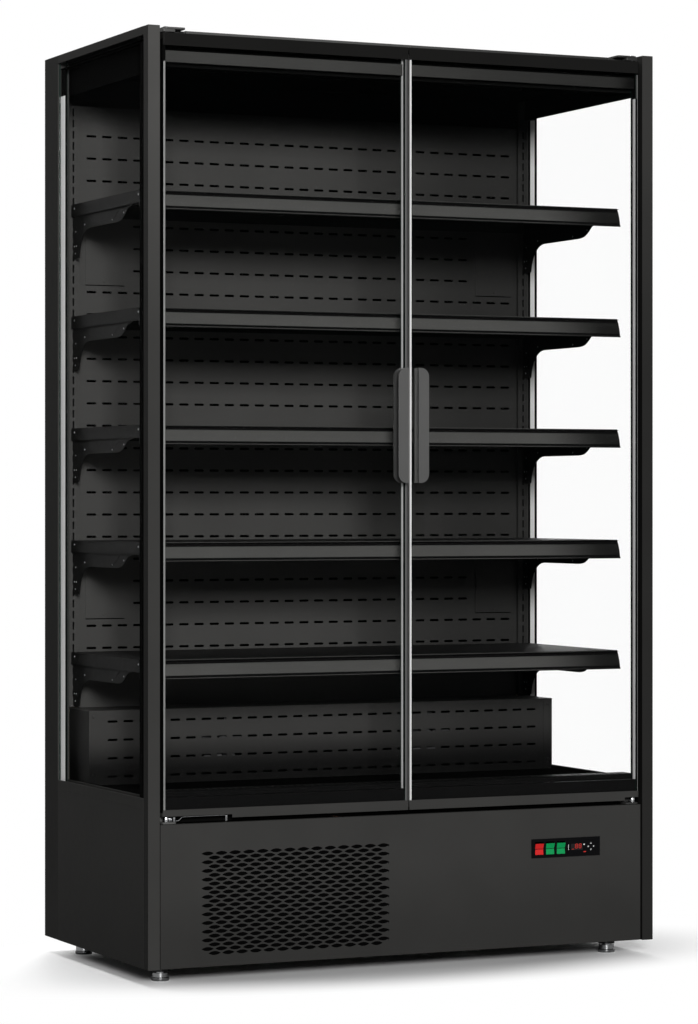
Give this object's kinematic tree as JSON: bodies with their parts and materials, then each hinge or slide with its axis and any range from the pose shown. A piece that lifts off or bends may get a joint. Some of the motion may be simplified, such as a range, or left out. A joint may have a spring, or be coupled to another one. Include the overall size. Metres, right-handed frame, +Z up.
{
  "type": "glass-door multideck display fridge",
  "caption": "Tall display fridge with hinged glass doors, glazed sides, hanging shelves with sloping price rails, and a lower grille panel with rocker switches and a thermostat.",
  "frame": {"origin": "on the floor below the middle of the whole footprint, handles included", "axes": "+X to the right of someone who faces the doors, -Y out of the doors, +Z up"},
  "size_m": [1.2, 0.653, 1.992],
  "materials": {
    "black_paint": "matt black powder coat",
    "liner_paint": "satin dark grey powder coat",
    "rail_grey": "satin grey",
    "clear_glass": "clear float glass",
    "spacer_silver": "matt silver",
    "handle_aluminium": "satin anodised",
    "seal_rubber": "matt rubber",
    "foam": "rigid foam",
    "foot_chrome": "zinc plated",
    "hinge_steel": "zinc plated steel",
    "bezel_black": "gloss black moulding",
    "switch_red": "translucent red moulding",
    "switch_green": "translucent green moulding",
    "key_white": "white moulding",
    "machine_black": "gloss black enamel",
    "coil_aluminium": "bare aluminium",
    "fan_plastic": "black moulding",
    "copper": "bare copper pipe"
  },
  "bodies": {
    "cabinet": {"base_frame": "black_paint", "levelling_feet": "foot_chrome", "front_posts": "black_paint", "rear_posts": "black_paint", "side_rails": "black_paint", "side_panels": "black_paint", "side_glass_left": "clear_glass", "side_glass_right": "clear_glass", "side_glass_spacers": "spacer_silver", "canopy": "black_paint", "air_outlet_grid": "coil_aluminium", "lamp": "key_white", "rear_panels": "black_paint", "insulation": "foam", "slotted_wall": "liner_paint", "shelf_uprights": "liner_paint", "lower_duct": "liner_paint", "deck_tray": "liner_paint", "return_air_sill": "liner_paint", "floor_box": "liner_paint", "door_seals": "seal_rubber", "door_hinges": "hinge_steel", "front_panel": "black_paint", "control_bezel": "bezel_black", "thermostat": "bezel_black", "compressor": "machine_black", "condenser": "coil_aluminium", "fan_motors": "hinge_steel", "evaporator": "coil_aluminium", "drip_tray": "fan_plastic", "refrigerant_pipes": "copper", "electrical_box": "machine_black"},
    "door_left": {"door_left_frame": "black_paint", "door_left_glass": "clear_glass", "door_left_spacer": "spacer_silver", "door_left_handle": "handle_aluminium"},
    "door_right": {"door_right_frame": "black_paint", "door_right_glass": "clear_glass", "door_right_spacer": "spacer_silver", "door_right_handle": "handle_aluminium"},
    "shelf_1": {"shelf_1": "liner_paint", "price_rail_1": "rail_grey"},
    "shelf_2": {"shelf_2": "liner_paint", "price_rail_2": "rail_grey"},
    "shelf_3": {"shelf_3": "liner_paint", "price_rail_3": "rail_grey"},
    "shelf_4": {"shelf_4": "liner_paint", "price_rail_4": "rail_grey"},
    "shelf_5": {"shelf_5": "liner_paint", "price_rail_5": "rail_grey"},
    "main_rocker": {"main_rocker": "switch_red"},
    "lamp_rocker": {"lamp_rocker": "switch_green"},
    "fan_rocker": {"fan_rocker": "switch_green"},
    "key_left": {"key_left": "key_white"},
    "key_right": {"key_right": "key_white"},
    "key_up": {"key_up": "key_white"},
    "key_down": {"key_down": "key_white"},
    "condenser_fan": {"condenser_fan": "fan_plastic"},
    "evaporator_fan_left": {"evaporator_fan_left": "fan_plastic"},
    "evaporator_fan_right": {"evaporator_fan_right": "fan_plastic"}
  },
  "joints": [
    {"name": "door_left_hinge", "type": "hinge", "parent": "cabinet", "child": "door_left", "pos_m": [-0.555, -0.2895, 1.035], "axis": [0, 0, -1], "range_deg": [0, 95], "stiffness_Nm_per_rad": 1.2, "springref_deg": -11.46},
    {"name": "door_right_hinge", "type": "hinge", "parent": "cabinet", "child": "door_right", "pos_m": [0.555, -0.2895, 1.035], "axis": [0, 0, 1], "range_deg": [0, 95], "stiffness_Nm_per_rad": 1.2, "springref_deg": -11.46},
    {"name": "main_rocker_tilt", "type": "hinge", "parent": "cabinet", "child": "main_rocker", "pos_m": [0.316, -0.2915, 0.2485], "axis": [-1, 0, 0], "range_deg": [0, 14]},
    {"name": "lamp_rocker_tilt", "type": "hinge", "parent": "cabinet", "child": "lamp_rocker", "pos_m": [0.3427, -0.2915, 0.2485], "axis": [-1, 0, 0], "range_deg": [0, 14]},
    {"name": "fan_rocker_tilt", "type": "hinge", "parent": "cabinet", "child": "fan_rocker", "pos_m": [0.3694, -0.2915, 0.2485], "axis": [-1, 0, 0], "range_deg": [0, 14]},
    {"name": "key_left_press", "type": "slide", "parent": "cabinet", "child": "key_left", "axis": [0, 1, 0], "range_m": [0, 0.001], "stiffness_N_per_m": 300, "springref_m": -0.002},
    {"name": "key_right_press", "type": "slide", "parent": "cabinet", "child": "key_right", "axis": [0, 1, 0], "range_m": [0, 0.001], "stiffness_N_per_m": 300, "springref_m": -0.002},
    {"name": "key_up_press", "type": "slide", "parent": "cabinet", "child": "key_up", "axis": [0, 1, 0], "range_m": [0, 0.001], "stiffness_N_per_m": 300, "springref_m": -0.002},
    {"name": "key_down_press", "type": "slide", "parent": "cabinet", "child": "key_down", "axis": [0, 1, 0], "range_m": [0, 0.001], "stiffness_N_per_m": 300, "springref_m": -0.002},
    {"name": "condenser_fan_spin", "type": "hinge", "parent": "cabinet", "child": "condenser_fan", "pos_m": [-0.265, -0.1845, 0.185], "axis": [0, 1, 0], "continuous": true},
    {"name": "evaporator_fan_left_spin", "type": "hinge", "parent": "cabinet", "child": "evaporator_fan_left", "pos_m": [-0.25, 0.1345, 0.465], "axis": [0, 1, 0], "continuous": true},
    {"name": "evaporator_fan_right_spin", "type": "hinge", "parent": "cabinet", "child": "evaporator_fan_right", "pos_m": [0.25, 0.1345, 0.465], "axis": [0, 1, 0], "continuous": true},
    {"name": "shelf_1_lift", "type": "slide", "parent": "cabinet", "child": "shelf_1", "axis": [0, 0, 1], "range_m": [0, 0.008]},
    {"name": "shelf_2_lift", "type": "slide", "parent": "cabinet", "child": "shelf_2", "axis": [0, 0, 1], "range_m": [0, 0.008]},
    {"name": "shelf_3_lift", "type": "slide", "parent": "cabinet", "child": "shelf_3", "axis": [0, 0, 1], "range_m": [0, 0.008]},
    {"name": "shelf_4_lift", "type": "slide", "parent": "cabinet", "child": "shelf_4", "axis": [0, 0, 1], "range_m": [0, 0.008]},
    {"name": "shelf_5_lift", "type": "slide", "parent": "cabinet", "child": "shelf_5", "axis": [0, 0, 1], "range_m": [0, 0.008]}
  ]
}
